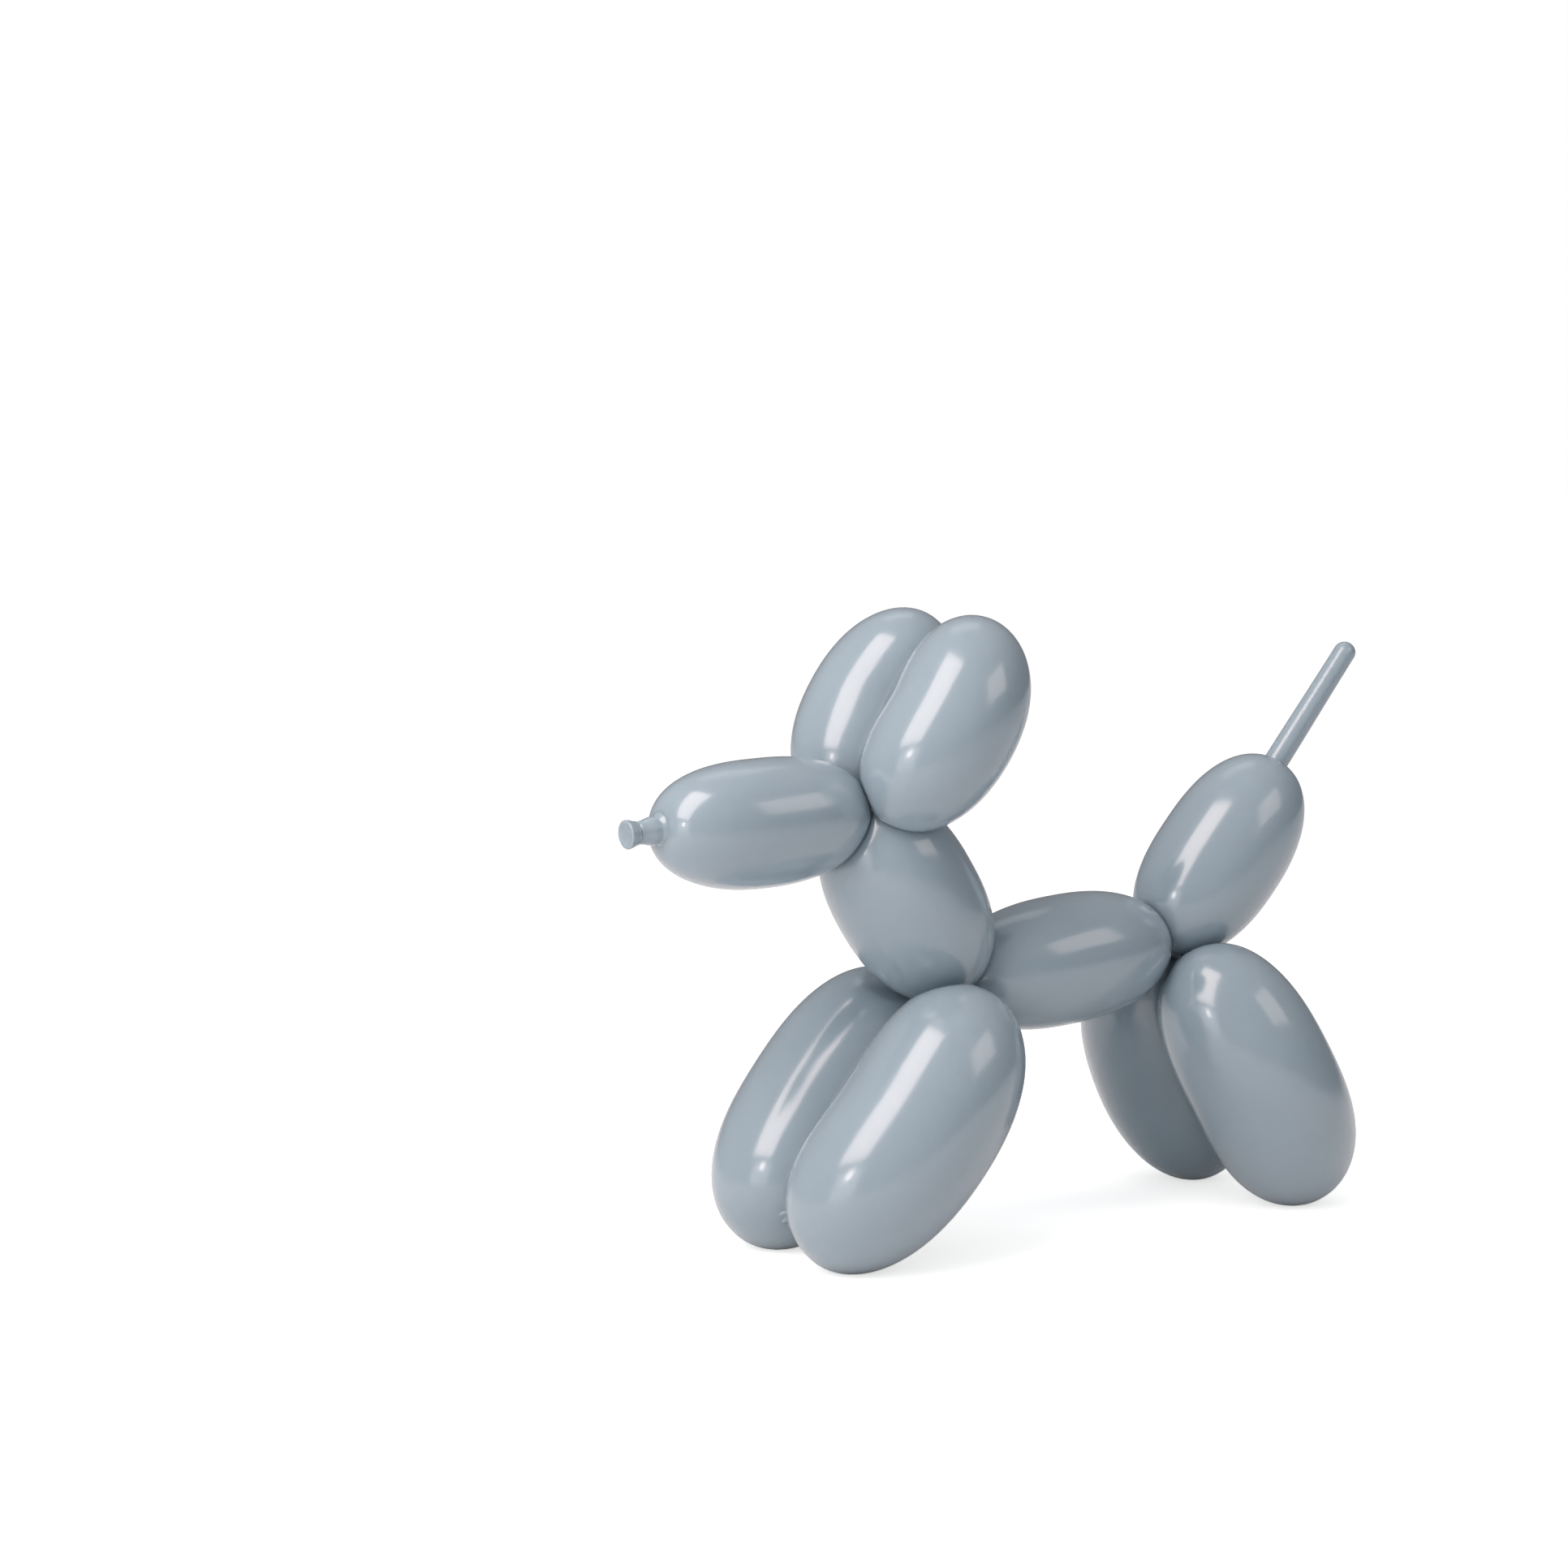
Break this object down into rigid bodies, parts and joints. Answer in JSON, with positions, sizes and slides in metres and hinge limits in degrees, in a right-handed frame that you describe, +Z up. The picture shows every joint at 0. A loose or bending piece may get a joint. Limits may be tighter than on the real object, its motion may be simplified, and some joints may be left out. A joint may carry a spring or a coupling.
{
  "type": "balloon dog",
  "caption": "Standing dog twisted from a long latex balloon: round muzzle with the balloon's mouth, upright ears, neck, body, fat legs and a tail with a thin uninflated tip.",
  "frame": {"origin": "on the ground, at the middle of the footprint's bounding box", "axes": "+Z up, -Y ahead along the muzzle, +X to the dog's left"},
  "size_m": [0.1024, 0.2914, 0.2015],
  "materials": {
    "latex": "glossy slate blue-grey latex"
  },
  "bodies": {
    "root": {"twisted_balloon": "latex"}
  },
  "joints": []
}
